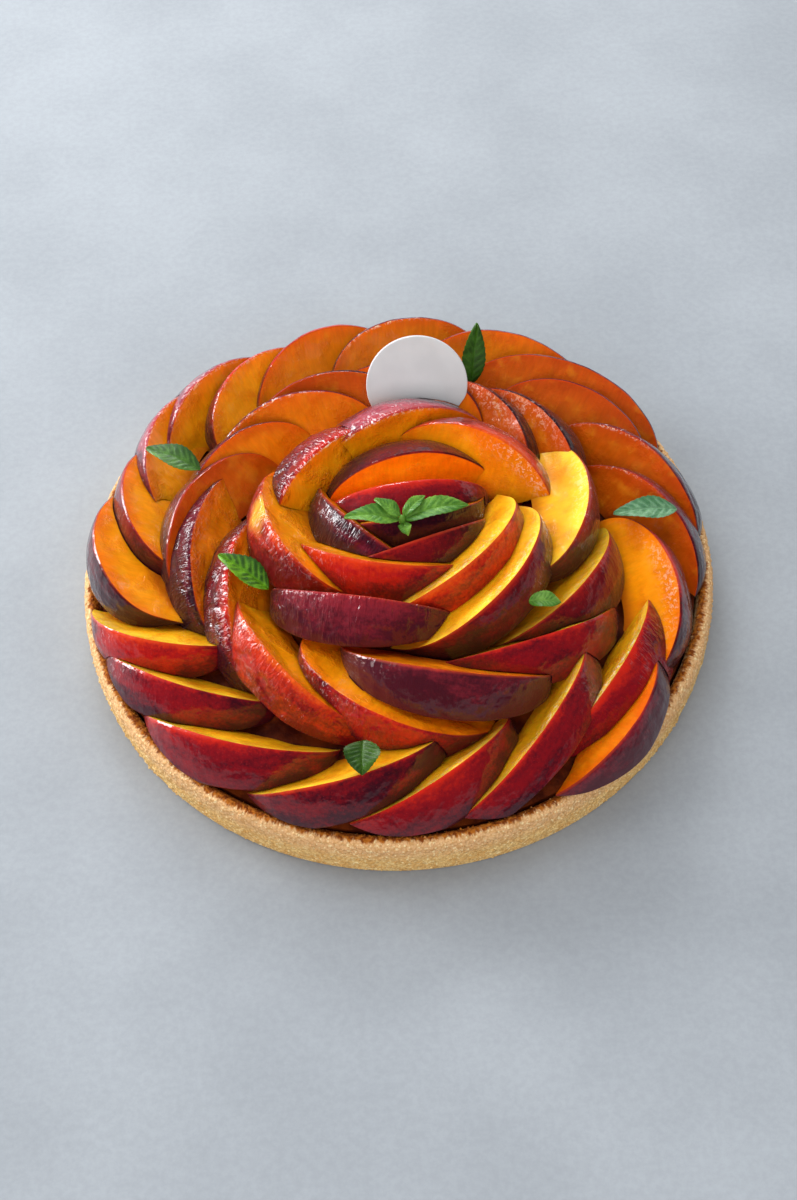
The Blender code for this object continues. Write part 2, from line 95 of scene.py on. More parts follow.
PLAQUE_RADIUS = 0.0179
PLAQUE_THICKNESS = 0.0014
PLAQUE_ROUND = 0.0004  # radius of its rounded rim
PLAQUE_PLACE = (0.0104, 0.0582, 0.0440)
PLAQUE_LEAN = 31  # degrees that it leans back from upright

# ==== mesh fineness ====
STATIONS = 72  # steps along a slice
SKIN_STEPS = 24  # steps across its skin
FACE_STEPS = 12  # steps down each cut face
HOLLOW_STEPS = 4  # steps across the stone's hollow
BLANK_HOLLOW = 0.0002  # radius of the hollow that keeps a blank closed round its core line
SHELL_STEPS = 1320
SHELL_PROFILE_STEP = 0.00055
CRUMBS = 3600
FILLING_STEPS = 240
FILLING_PROFILE_STEP = 0.0016
PLAQUE_STEPS = 144
BED_STEPS = 96
LEAF_STATIONS = 56
LEAF_COLUMNS = 20
STALK_STEPS = 16

# ==== looks of the slices ====
PEACH_SHIFT = (0.31, 0.17, 0.23)  # from one slice to the next in the materials' noise
GLAZE_IOR = 1.42
GLAZE_RELIEF = 0.0006
SKINS = {  # tones for the ends and painted shade below, for the middle, and for painted light along the upper cut edge
    "night": ((0.008, 0.0006, 0.003), (0.036, 0.001, 0.006), (0.08, 0.002, 0.006)),
    "plum": ((0.02, 0.001, 0.007), (0.11, 0.002, 0.013), (0.22, 0.004, 0.01)),
    "mulberry": ((0.06, 0.004, 0.011), (0.21, 0.011, 0.022), (0.32, 0.012, 0.016)),
    "wine": ((0.026, 0.0008, 0.005), (0.14, 0.001, 0.005), (0.33, 0.006, 0.003)),
    "crimson": ((0.04, 0.0008, 0.007), (0.22, 0.0012, 0.006), (0.5, 0.01, 0.002)),
    "scarlet": ((0.075, 0.001, 0.006), (0.37, 0.004, 0.004), (0.6, 0.03, 0.002)),
    "ember": ((0.12, 0.0015, 0.003), (0.49, 0.02, 0.002), (0.66, 0.08, 0.002)),
    # a dark red skin with a lilac sheen painted into its colour: painted reflection
    "lilac_sheen": ((0.07, 0.003, 0.014), (0.36, 0.048, 0.07), (0.36, 0.025, 0.024)),
}
FLESHES = {  # tones near the skin and in the middle
    "gold": ((0.96, 0.57, 0.035), (0.9, 0.38, 0.005)),
    "honey": ((0.84, 0.18, 0.001), (0.9, 0.28, 0.001)),
    "amber": ((0.74, 0.12, 0.001), (0.83, 0.2, 0.001)),
    "russet": ((0.48, 0.052, 0.001), (0.58, 0.095, 0.001)),
}

# bearing and radius place the middle of a slice's upper edge, turn swings its leading end inwards, incline
# leans its upper face, and opening is its wedge's angle. blush is how much of the skin takes its lighter
# tone, wrinkle how crinkled the skin is, and pale the strength of a yellow patch near its middle.
# glint says how strong the painted white glints are on the skin and on the cut face, painted highlights
# laid into the colour, where along the slice they lie, from -1 to 1 with 1 at its leading end, and how far
# they spread.
Slice = namedtuple(
    "Slice", "bearing radius turn incline opening skin flesh blush wrinkle glint lift stretch pale",
    defaults=((0, 0, 0, 1), 0.0, 1.0, 0.0))
Ring = namedtuple("Ring", "name rim_height pitch sense slices")
OUTER = Ring("outer_slice", 0.037, 10, 1, (
    Slice(164, 0.0975, 17, 35, 32, "wine", "honey", 0.5, 0.3),
    Slice(144, 0.1, 10, 42, 35, "lilac_sheen", "honey", 0.4, 0.4, (0.45, 0, 0, 0.8)),
    Slice(131, 0.0992, 10, 52, 35, "lilac_sheen", "honey", 0.3, 0.4, (0.45, 0, 0, 0.8), stretch=1.08),
    Slice(121, 0.095, 12, 40, 33, "crimson", "honey", 0.5, 0.3, (0.3, 0, 0.1, 0.6)),
    Slice(104, 0.0965, 12, 40, 34, "crimson", "amber", 0.5, 0.3),
    Slice(84, 0.0975, 14, 40, 35, "plum", "amber", 0.3, 0.5, (0.8, 0, 0.35, 0.4)),
    Slice(61, 0.0985, 16, 38, 34, "wine", "amber", 0.3, 0.3, stretch=1.07),
    Slice(43, 0.0992, 19, 38, 34, "wine", "russet", 0.2, 0.3, stretch=1.2),
    Slice(38, 0.093, 22, 38, 30, "plum", "russet", 0.2, 0.3),
    Slice(17, 0.096, 25, 49, 34, "plum", "russet", 0.2, 0.4, (0.6, 0, 0.45, 0.3), stretch=1.08),
    Slice(4, 0.0943, 28, 49, 33, "plum", "russet", 0.3, 0.3, (0.4, 0, 0.6, 0.3),
          lift=-0.001, stretch=1.04),
    Slice(345, 0.0955, 22, 39, 33, "crimson", "honey", 0.4, 0.3, (0, 0.28, 0, 0.5)),
    Slice(311, 0.1062, 7, 40, 26, "mulberry", "amber", 0.2, 0.2, lift=-0.006, stretch=1.08),
    Slice(319, 0.0908, 5, 60, 46, "crimson", "gold", 0.6, 0.9, (0, 1, 0, 0.5), lift=-0.002, stretch=1.14),
    Slice(298, 0.0908, 22, 57, 26, "crimson", "gold", 0.7, 0.1, (0, 0.5, 0.2, 0.5), stretch=1.22),
    Slice(275, 0.0945, 23, 51, 32, "crimson", "gold", 0.6, 0.1, (0, 0.3, 0.2, 0.5),
          lift=-0.003, stretch=1.08),
    Slice(257, 0.096, 22, 45, 29, "crimson", "gold", 0.5, 0.1, lift=-0.001, stretch=1.08),
    Slice(230, 0.097, 17, 50, 32, "crimson", "gold", 0.6, 0.1, lift=-0.003, stretch=1.14),
    Slice(213, 0.094, 28, 50, 28, "crimson", "gold", 0.5, 0.2, (0.25, 0.2, -0.6, 0.3),
          lift=-0.003, stretch=1.1),
    Slice(202, 0.0953, 42, 41, 28, "scarlet", "gold", 0.6, 0.2, (0.2, 0.2, -0.5, 0.3),
          lift=-0.002, stretch=0.9),
    Slice(177, 0.103, 8, 32, 31, "wine", "honey", 0.3, 0.3),
))
MIDDLE = Ring("middle_slice", 0.043, 8, -1, (
    Slice(44, 0.07, 4, 50, 28, "night", "russet", 0.2, 0.3, (0.2, 0.25, 0, 0.5), stretch=1.05),
    Slice(55, 0.065, 18, 45, 28, "night", "russet", 0.2, 0.3, (0.2, 0.25, 0, 0.5)),
    Slice(83, 0.07, 15, 45, 26, "plum", "amber", 0.2, 0.3),
    Slice(109, 0.071, 15, 45, 26, "plum", "russet", 0.2, 0.3),
    Slice(125, 0.069, 18, 45, 28, "plum", "amber", 0.2, 0.4, (0.8, 0, -0.2, 0.4)),
    Slice(151, 0.07, 13, 46, 28, "plum", "amber", 0.2, 0.3),
    Slice(167, 0.073, 18, 46, 28, "plum", "russet", 0.2, 0.3),
    Slice(181, 0.0682, 9, 55, 34, "plum", "amber", 0.2, 1.0, (0.2, 0.1, 0.1, 0.5), stretch=1.06),
    Slice(199, 0.0595, 25, 53, 28, "crimson", "amber", 0.4, 1.6, (0.85, 0, 0.1, 0.5), stretch=1.12),
    Slice(234, 0.0672, 13, 49, 30, "ember", "honey", 0.5, 0.9, (0.55, 0, 0.5, 0.3), stretch=1.08),
    Slice(285, 0.0668, 21, 50, 32, "mulberry", "amber", 0.1, 0.3, (0.2, 0, 0.8, 0.2),
          lift=0.006, stretch=1.08),
    Slice(262, 0.0725, 20, 31, 28, "scarlet", "honey", 0.4, 0.8, (0.4, 0, 0.5, 0.3),
          lift=-0.003, stretch=1.1),
    Slice(315, 0.0676, 23, 54, 32, "crimson", "gold", 0.6, 0.1, stretch=1.08),
    Slice(339, 0.069, 14, 47, 34, "wine", "gold", 0.5, 0.3, (0, 0.3, 0.1, 0.5)),
    Slice(7, 0.067, 10, 29, 30, "wine", "gold", 0.5, 0.3, (0.2, 0.2, 0, 0.5), lift=0.003),
))
ROSE = Ring("rose_slice", 0.052, 8, 1, (
    Slice(317, 0.0495, 1, 38, 30, "wine", "gold", 0.5, 0.3, (0, 0.3, 0.2, 0.5), stretch=1.03),
    Slice(241, 0.039, 12, 62, 31, "mulberry", "amber", 0.4, 1.0, (0.12, 0, -0.55, 0.3)),
    Slice(181, 0.043, 15, 43, 34, "ember", "honey", 0.4, 1.0, (0.5, 0, 0.1, 0.5), stretch=0.96, pale=1.0),
    Slice(123, 0.035, 5, 67, 28, "crimson", "honey", 0.6, 1.5, (1, 0, 0, 0.6)),
    Slice(84, 0.04, 26, 70, 30, "lilac_sheen", "honey", 0.4, 0.6, (0.9, 0, 0.35, 0.5), stretch=1.12),
    Slice(40, 0.044, 22, 60, 28, "ember", "honey", 0.5, 0.3, (0.1, 0.42, -0.45, 0.35)),
    Slice(314, 0.035, -6, 41, 28, "ember", "gold", 0.5, 0.2, (0, 0.4, 0, 0.5)),
    Slice(235, 0.026, 13, 40, 28, "scarlet", "honey", 0.6, 0.4, (0.45, 0, -0.65, 0.3)),
    Slice(68, 0.023, 30, 72, 24, "wine", "honey", 0.3, 0.3),
    Slice(274, 0.017, 8, 55, 26, "wine", "honey", 0.4, 0.2),
    Slice(199, 0.016, 20, 53, 28, "plum", "honey", 0.2, 0.6, (0.45, 0, -0.5, 0.3)),
    Slice(252, 0.007, 18, 45, 26, "plum", "honey", 0.1, 0.3),
    Slice(274, -0.009, 0, 78, 26, "crimson", "honey", 0.7, 0.1),
))
RINGS = (OUTER, MIDDLE, ROSE)

# ==== leaves ====
Leaf = namedtuple("Leaf", "node foot tip width fold curl light dark")
LEAVES = (
    Leaf("mint_leaf_left", (-0.066, 0.0262, 0.041), (-0.085, 0.037, 0.041), 0.0085, 12, 0.002,
         (0.11, 0.26, 0.035), (0.02, 0.07, 0.008)),
    Leaf("mint_leaf_front_left", (-0.043, -0.0225, 0.038), (-0.0592, -0.011, 0.043), 0.0085, 25, 0.0015,
         (0.2, 0.5, 0.01), (0.018, 0.07, 0.004)),
    Leaf("mint_leaf_right", (0.096, 0.0033, 0.04), (0.0742, 0.0022, 0.041), 0.0085, 10, 0.0015,
         (0.24, 0.44, 0.25), (0.045, 0.16, 0.06)),
    Leaf("mint_leaf_front_right", (0.042, -0.0362, 0.044), (0.0525, -0.0366, 0.043), 0.006, 14, 0.001,
         (0.22, 0.42, 0.07), (0.05, 0.17, 0.012)),
    Leaf("mint_leaf_front", (-0.0138, -0.0805, 0.036), (-0.0146, -0.0925, 0.036), 0.011, 8, 0.0015,
         (0.06, 0.15, 0.008), (0.016, 0.055, 0.004)),
    Leaf("mint_leaf_back", (0.03, 0.0665, 0.033), (0.0332, 0.0803, 0.05), 0.008, 16, 0.0012,
         (0.06, 0.18, 0.008), (0.018, 0.06, 0.003)),
)
SPRIG_CENTRE = Vector((0.0024, -0.0078, 0.052))
SPRIG_LEAVES = (  # bearing, length, width, height of the foot and of the tip
    (176, 0.019, 0.007, -0.0004, 0.001),
    (8, 0.0225, 0.0075, -0.0002, 0.0015),
    (146, 0.0105, 0.0042, 0.001, 0.004),
    (38, 0.01, 0.004, 0.0012, 0.004),
    (285, 0.006, 0.004, -0.0014, -0.001),
)
SPRIG_TONES = ((0.19, 0.4, 0.045), (0.04, 0.15, 0.01))
SPRIG_FOLD = 14
SPRIG_CURL = 0.12  # against a leaf's length
STALK = (  # radius and height round the sprig's centre
    (0.0003, -0.0021), (0.0011, -0.0016), (0.0012, 0.0), (0.001, 0.0012), (0.0003, 0.0017))
LEAF_THICKNESS = 0.0005
LEAF_TEETH = 11
LEAF_VEIN_PAIRS = 8

# ==== view and light ====
IMAGE_HEIGHT = 1200
FOCAL_PIXELS = 1780
CAMERA_ELEVATION = 56.39
CAMERA_ROLL = -3.12
CAMERA_DISTANCE = 0.632
CAMERA_TARGET = (-0.00023, -0.0035, 0.0)
SENSOR = 36.0  # millimetres
Light = namedtuple("Light", "name azimuth elevation distance aim size power tone mirrored")
LIGHTS = (  # aim is the height that a light looks at; the glaze shows the mirrored ones
    Light("window", 152, 15, 1.2, 0.03, (0.52, 0.36), 13.0, (0.96, 0.985, 1.0), True),
    Light("back_window", 100, 33, 1.3, 0.03, (0.50, 0.26), 7.0, (0.96, 0.985, 1.0), True),
    Light("far_window", 35, 12, 1.3, 0.03, (0.9, 0.4), 1.0, (1.0, 0.98, 0.98), True),
    Light("skylight", 105, 58, 1.6, 0.0, (1.6, 1.6), 9.0, (1.0, 0.99, 0.97), False),
    Light("high_window", 150, 48, 1.5, 0.0, (1.2, 0.8), 6.0, (1.0, 0.99, 0.97), False),
    Light("room", -105, 36, 1.6, 0.0, (1.8, 1.0), 13.0, (1.0, 0.985, 0.96), False),
)
ROOM_TONE = (0.93, 0.97, 1.0, 1.0)
ROOM_STRENGTH = 0.62
FLOOR_HALF_SIZE = 12.0


# ==== numbers ====
def bell(values, centre, width):
    """1 at the centre, falling to nothing on both sides."""
    return np.exp(-((values - centre) / width) ** 2)


def towards(azimuth, elevation=0.0, distance=1.0):
    flat = distance * math.cos(math.radians(elevation))
    height = distance * math.sin(math.radians(elevation))
    return Vector((flat * math.cos(math.radians(azimuth)), flat * math.sin(math.radians(azimuth)), height))


def lattice_noise(points, cell, seed=0):
    """Smooth noise from -1 to 1, with bumps about as wide as cell."""
    place = np.asarray(points, float) / cell + 1000.0
    base = np.floor(place).astype(np.int64)
    share = place - base
    share = share * share * (3 - 2 * share)
    total = np.zeros(len(place))
    for corner in range(8):
        offset = np.array([corner & 1, corner >> 1 & 1, corner >> 2 & 1])
        cell_at = base + offset
        code = cell_at[:, 0] * 374761393 + cell_at[:, 1] * 668265263 + cell_at[:, 2] * 1440662683
        code = (code + seed * 362437) & 0xFFFFFFFF
        code = (code ^ code >> 13) * 1274126177 & 0xFFFFFFFF
        code = (code ^ code >> 16) & 0xFFFFFF
        weight = np.where(offset, share, 1 - share).prod(axis=1)
        total += weight * (code / 0x7FFFFF - 1)
    return total


# ==== materials ====
class Graph:
    """A material being made. Unless it says otherwise, a method returns the socket of a new node."""

    def __init__(self, name):
        self.material = bpy.data.materials.new(name)
        self.material.use_nodes = True
        self.tree = self.material.node_tree
        self.shader = self.tree.nodes["Principled BSDF"]
        self.colour = None

    def plug(self, socket, value):
        """Links a socket to an input, or sets the input's own value. Returns nothing."""
        if isinstance(value, bpy.types.NodeSocket):
            self.tree.links.new(value, socket)
        else:
            if socket.type == "RGBA" and len(value) == 3:
                value = (*value, 1.0)
            socket.default_value = value

    def node(self, kind, output, inputs, **settings):
        node = self.tree.nodes.new(kind)
        for name, value in settings.items():
            setattr(node, name, value)
        for name, value in inputs.items():
            self.plug(node.inputs[name], value)
        return node.outputs[output]

    def place(self):
        return self.node("ShaderNodeTexCoord", "Object", {})

    def read(self, name, output="Fac"):
        return self.node("ShaderNodeAttribute", output, {}, attribute_name=name)

    def stretch(self, vector, scale):
        return self.node("ShaderNodeMapping", 0, {"Vector": vector, "Scale": scale})

    def noise(self, vector, cell, detail=2.0, roughness=0.5, distortion=0.0):
        return self.node("ShaderNodeTexNoise", "Fac", {
            "Vector": vector, "Scale": 1 / cell, "Detail": detail, "Roughness": roughness,
            "Distortion": distortion})

    def spots(self, vector, cell):
        return self.node("ShaderNodeTexVoronoi", "Distance", {"Vector": vector, "Scale": 1 / cell})

    def math(self, operation, *values):
        return self.node("ShaderNodeMath", 0, dict(enumerate(values)), operation=operation)

    def times(self, first, second):
        return self.math("MULTIPLY", first, second)

    def plus(self, first, second):
        return self.math("ADD", first, second)

    def scaled(self, value, factor, added):
        return self.math("MULTIPLY_ADD", value, factor, added)

    def span(self, value, low, high, to_low=0.0, to_high=1.0):
        values = {"Value": value, "From Min": low, "From Max": high, "To Min": to_low, "To Max": to_high}
        return self.node("ShaderNodeMapRange", "Result", values, interpolation_type="SMOOTHSTEP")

    def mix(self, first, second, share, blend="MIX"):
        inputs = {0: share, 6: first, 7: second}
        return self.node("ShaderNodeMix", 2, inputs, data_type="RGBA", blend_type=blend)

    def paint(self, tone, share=1.0, blend="MIX"):
        """Lays a tone over the material's colour so far. Returns nothing."""
        self.colour = self.mix(self.colour, tone, share, blend)

    def bump(self, height, distance):
        return self.node("ShaderNodeBump", "Normal", {"Height": height, "Distance": distance})

    def finish(self, **inputs):
        """Sets the shader's inputs, named with _ for a space, and returns the material."""
        self.plug(self.shader.inputs["Base Color"], self.colour)
        for name, value in inputs.items():
            self.plug(self.shader.inputs[name.replace("_", " ")], value)
        return self.material


def skin_material():
    graph = Graph("peach_skin")
    at = graph.read("peach_at", "Vector")
    blotch = graph.noise(graph.stretch(at, (0.35, 1.0, 1.0)), 0.0085, 3.0, 0.55, 0.4)
    mottle = graph.noise(at, 0.0013, 3.0, 0.65)
    # the share read here is the skin's blush plus painted light towards its upper cut edge and painted
    # shade on its underside
    lit = graph.read("lit")
    share = graph.plus(lit, graph.scaled(blotch, 1.7, -0.85))
    share = graph.plus(share, graph.scaled(mottle, 0.9, -0.45))
    graph.colour = graph.read("skin_deep", "Color")
    graph.paint(graph.read("skin_blush", "Color"), graph.span(share, -0.05, 0.75))
    # painted light: the brightest tone along the upper cut edge, where the thin skin glows and catches the
    # light
    near_cut = graph.span(graph.plus(share, graph.read("near_cut")), 0.75, 1.5)
    graph.paint(graph.read("skin_edge", "Color"), near_cut)
    freckles = graph.span(graph.spots(at, 0.0012), 0.08, 0.20, 0.20, 0.0)
    graph.paint((0.56, 0.045, 0.035), graph.times(freckles, graph.span(lit, 0.0, 0.6)))
    edge_line = graph.span(graph.read("edge"), 0.0, 0.0007, 0.45, 0.0)
    graph.paint((0.48, 0.045, 0.006), edge_line)
    graph.paint((0.82, 0.40, 0.03), graph.read("pale"))
    # painted highlights: broken white glints laid into the skin's colour, as strong as the glint attribute
    # says
    glint_flecks = graph.noise(graph.stretch(at, (1.0, 0.55, 0.55)), 0.0014, 3.0, 0.62, 0.6)
    glint_flecks = graph.span(glint_flecks, 0.56, 0.66)
    graph.paint((0.90, 0.78, 0.79), graph.times(glint_flecks, graph.read("glint")))
    patches = graph.span(graph.noise(at, 0.008, 1.0), 0.30, 0.55)
    crinkle = graph.noise(graph.stretch(at, (1.0, 0.28, 0.28)), 0.0017, 2.5, 0.55, 0.7)
    crinkle = graph.times(crinkle, graph.times(patches, graph.read("wrinkle")))
    film = graph.noise(at, 0.0040, 1.5)
    height = graph.scaled(crinkle, 1.8, graph.times(film, 0.7))
    height = graph.scaled(graph.noise(at, 0.0008, 2.0), 0.10, height)
    normal = graph.bump(height, GLAZE_RELIEF)
    return graph.finish(
        Roughness=0.50, Specular_IOR_Level=0.15, Normal=normal, Coat_Weight=1.0, Coat_Roughness=0.07,
        Coat_IOR=GLAZE_IOR, Coat_Normal=normal, Subsurface_Weight=0.05, Subsurface_Scale=0.002,
        Subsurface_Radius=(1.0, 0.2, 0.1), Sheen_Weight=0.03, Sheen_Roughness=0.45,
        Sheen_Tint=(0.80, 0.72, 0.90))


def flesh_material():
    graph = Graph("peach_flesh")
    at = graph.read("peach_at", "Vector")
    depth = graph.read("depth")
    cloud = graph.noise(at, 0.012, 2.0, 0.5, 0.3)
    inwards = graph.scaled(cloud, 0.010, graph.plus(depth, -0.002))
    graph.colour = graph.read("flesh_rim", "Color")
    graph.paint(graph.read("flesh_middle", "Color"), graph.span(inwards, 0.0020, 0.0125))
    fibre = graph.noise(graph.stretch(at, (1.0, 1.0, 0.22)), 0.0013, 3.0, 0.6)
    graph.paint(graph.span(fibre, 0.25, 0.75, 0.91, 1.07), blend="MULTIPLY")
    haze = graph.span(graph.noise(at, 0.0060, 2.0, 0.5, 0.3), 0.50, 0.75, 0.0, 0.16)
    graph.paint((0.90, 0.46, 0.02), haze)
    glow = graph.span(graph.noise(at, 0.0080, 2.0), 0.46, 0.72, 0.0, 0.36)
    graph.paint((0.62, 0.080, 0.001), glow)
    skin_line = graph.span(depth, 0.0001, 0.0010, 0.75, 0.0)
    graph.paint((0.50, 0.050, 0.004), skin_line)
    near_stone = graph.span(depth, 0.0160, 0.0225, 0.0, 0.60)
    graph.paint((0.33, 0.022, 0.004), near_stone)
    # painted highlights: white glints laid into the cut face's colour, just under the skin
    glint_flecks = graph.span(graph.noise(at, 0.0014, 3.0, 0.65, 0.7), 0.50, 0.61)
    graph.paint((1.0, 0.94, 0.78), graph.times(glint_flecks, graph.read("glint")))
    patches = graph.span(graph.noise(at, 0.008, 1.0), 0.40, 0.62)
    crinkle = graph.times(graph.noise(at, 0.0014, 2.5, 0.6, 0.8), patches)
    crinkle = graph.times(crinkle, graph.scaled(graph.read("wrinkle"), 1.1, 0.15))
    film = graph.noise(at, 0.0060, 1.5)
    height = graph.scaled(crinkle, 1.1, graph.times(film, 0.9))
    height = graph.scaled(fibre, 0.16, height)
    normal = graph.bump(height, GLAZE_RELIEF)
    return graph.finish(
        Roughness=0.50, Specular_IOR_Level=0.15, Normal=normal, Coat_Weight=0.8, Coat_Roughness=0.08,
        Coat_IOR=GLAZE_IOR, Coat_Normal=normal, Subsurface_Weight=0.35, Subsurface_Scale=0.003,
        Subsurface_Radius=(1.0, 0.42, 0.06))


def pastry_material():
    graph = Graph("pastry")
    at = graph.place()
    mottle = graph.span(graph.noise(at, 0.004, 3.0, 0.6), 0.35, 0.7)
    graph.colour = graph.mix((0.71, 0.415, 0.145), (0.81, 0.55, 0.225), mottle)
    graph.paint((0.72, 0.41, 0.21), graph.times(graph.read("upper"), 0.75))
    grains = graph.spots(at, 0.00095)
    graph.paint((0.46, 0.210, 0.045), graph.span(grains, 0.35, 0.80, 0.0, 0.50))
    bright = graph.span(graph.noise(at, 0.0010, 2.0), 0.56, 0.68, 0.0, 0.65)
    graph.paint((0.94, 0.77, 0.43), bright)
    speckle = graph.span(graph.noise(at, 0.0015, 2.0), 0.40, 0.6)
    toast = graph.mix((0.42, 0.125, 0.012), (0.20, 0.042, 0.004), speckle)
    ragged = graph.noise(graph.read("rim_at", "Vector"), 0.0012, 3.0, 0.6)
    baked = graph.plus(graph.read("brown"), graph.scaled(ragged, 1.3, -0.65))
    graph.paint(toast, graph.span(baked, 0.30, 0.66))
    sand = graph.noise(at, 0.0009, 3.0, 0.65)
    normal = graph.bump(graph.scaled(sand, 0.6, graph.times(grains, 0.6)), 0.00055)
    return graph.finish(Roughness=0.85, Specular_IOR_Level=0.2, Normal=normal)


def filling_material():
    graph = Graph("filling")
    at = graph.place()
    blotch = graph.span(graph.noise(at, 0.008, 3.0, 0.6), 0.35, 0.7)
    # a near-black brown: the filling's dark glaze, darkened further as painted shade for the gaps between
    # the slices
    graph.colour = graph.mix((0.045, 0.005, 0.002), (0.150, 0.025, 0.003), blotch)
    normal = graph.bump(graph.noise(at, 0.003, 3.0, 0.6), GLAZE_RELIEF)
    return graph.finish(
        Roughness=0.6, Specular_IOR_Level=0.1, Normal=normal, Coat_Weight=0.15, Coat_Roughness=0.2,
        Coat_Normal=normal)


def plaque_material():
    graph = Graph("plaque")
    at = graph.place()
    cloud = graph.span(graph.noise(at, 0.012, 2.0), 0.35, 0.65)
    graph.colour = graph.mix((0.59, 0.59, 0.60), (0.64, 0.64, 0.65), cloud)
    return graph.finish(Roughness=0.38, Normal=graph.bump(graph.noise(at, 0.0012, 2.0), 0.00003))


def mint_material():
    graph = Graph("mint")
    at = graph.place()
    cloud = graph.noise(at, 0.0032, 3.0, 0.6)
    light = graph.read("leaf_light", "Color")
    graph.colour = graph.read("leaf_dark", "Color")
    # painted light: one side of each leaf is lighter, as if in the sun, besides the random clouding and the
    # veins
    graph.paint(light, graph.span(graph.plus(cloud, graph.read("sunny")), 0.35, 0.95))
    graph.paint(light, graph.times(graph.read("vein"), 0.55))
    cells = graph.spots(at, 0.00035)
    graph.paint(graph.span(cells, 0.1, 0.7, 1.08, 0.86), blend="MULTIPLY")
    normal = graph.bump(graph.scaled(cloud, 0.3, cells), 0.00006)
    return graph.finish(
        Roughness=0.48, Normal=normal, Coat_Weight=0.12, Coat_Roughness=0.25, Subsurface_Weight=0.12,
        Subsurface_Scale=0.001, Subsurface_Radius=(0.6, 1.0, 0.2))


def floor_material():
    graph = Graph("floor")
    at = graph.place()
    cloud = graph.span(graph.noise(at, 0.08, 4.0, 0.6), 0.3, 0.7)
    graph.colour = graph.mix((0.285, 0.306, 0.335), (0.325, 0.348, 0.379), cloud)
    grain = graph.span(graph.noise(at, 0.0025, 4.0, 0.7), 0.3, 0.7, 0.95, 1.04)
    graph.paint(grain, blend="MULTIPLY")
    return graph.finish(Roughness=0.75)


# ==== meshes ====
def face_outwards(item):
    shape = bmesh.new()
    shape.from_mesh(item.data)
    bmesh.ops.recalc_face_normals(shape, faces=shape.faces)
    shape.to_mesh(item.data)
    shape.free()


def mesh_object(name, points, faces, *materials):
    mesh = bpy.data.meshes.new(name)
    mesh.from_pydata(points, [], faces)
    for material in materials:
        mesh.materials.append(material)
    item = bpy.data.objects.new(name, mesh)
    bpy.context.collection.objects.link(item)
    face_outwards(item)
    return item


def point_values(item):
    values = np.empty(len(item.data.vertices) * 3)
    item.data.vertices.foreach_get("co", values)
    return values.reshape(-1, 3)


def write(item, **layers):
    """Stores values for the materials to read: numbers or vectors, for each point or one for them all."""
    count = len(item.data.vertices)
    for name, values in layers.items():
        values = np.asarray(values, np.float32)
        if values.shape[-1:] == (3,):
            layer = item.data.attributes.new(name, "FLOAT_VECTOR", "POINT")
            layer.data.foreach_set("vector", np.broadcast_to(values, (count, 3)).ravel())
        else:
            layer = item.data.attributes.new(name, "FLOAT", "POINT")
            layer.data.foreach_set("value", np.broadcast_to(values, count))


def add_piece(item, node, crease=40):
    """Hands a finished mesh over in place of a node."""
    item.data.shade_smooth()
    item.data.set_sharp_from_angle(angle=math.radians(crease))
    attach(item, BODY)
    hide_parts(node)


def shifted(faces, offset):
    return [tuple(number + offset for number in face) for face in faces]


def grid_faces(rows, columns, closed):
    """Quads over a grid of points, row after row; closed joins the last column to the first."""
    faces = []
    for row in range(rows - 1):
        for column in range(columns if closed else columns - 1):
            after = (column + 1) % columns
            low = row * columns
            high = low + columns
            faces.append((low + column, low + after, high + after, high + column))
    return faces


def capped_faces(rows, columns):
    """Faces over a closed grid whose points come after one pole and before the other."""
    faces = shifted(grid_faces(rows, columns, True), 1)
    last = rows * columns + 1
    for column in range(columns):
        after = (column + 1) % columns
        faces.append((0, 1 + after, 1 + column))
        faces.append((last - columns + column, last - columns + after, last))
    return faces


def turned_solid(name, profile, steps, *materials):
    """Turns a profile of (radius, height) points, which starts and ends on the axis."""
    angles = np.arange(steps) * (2 * math.pi / steps)
    points = [(0, 0, profile[0][1])]
    for radius, height in profile[1:-1]:
        points += zip(radius * np.cos(angles), radius * np.sin(angles), np.full(steps, height))
    points.append((0, 0, profile[-1][1]))
    return mesh_object(name, points, capped_faces(len(profile) - 2, steps), *materials)


def even_steps(profile, step):
    """Points at even steps along a profile of (radius, height) corners."""
    corners = np.array(profile, float)
    lengths = np.hypot(*np.diff(corners, axis=0).T)
    ends = np.concatenate([[0], np.cumsum(lengths)])
    places = np.linspace(0, ends[-1], max(2, int(round(ends[-1] / step))) + 1)
    return list(zip(*(np.interp(places, ends, values) for values in corners.T)))


# ==== peach slices ====
def slice_sections(item, stem_first, spread):
    """For each station of a slice: place along it, skin radius, core line's place and hollow's radius."""
    share = np.linspace(0, 1, STATIONS + 1)
    half_length = PEACH_HALF_LENGTH * item.stretch + spread
    radius = PEACH_RADIUS + spread
    walk = 1 - share if stem_first else share
    linear = 2 * walk - 1
    latitude = 45 * (linear + np.sin(0.5 * math.pi * linear))
    dip = 1 - STEM_DIMPLE * bell(latitude, 90, DIMPLE_SPREAD)
    along = half_length * np.sin(np.radians(latitude)) * dip
    reach = radius * np.maximum(np.cos(np.radians(latitude)), 0) ** SHOULDER * dip
    if stem_first:
        along = -along
    core = CORE_SHARE * half_length * np.sin(math.pi * (share - 0.5))
    hollow = STONE_RADIUS * np.sqrt(np.maximum(0, 1 - (core / STONE_HALF_LENGTH) ** 2))
    hollow = np.minimum(np.maximum(hollow, THIN_EDGE), 0.8 * reach)
    return share, along, reach, core, hollow


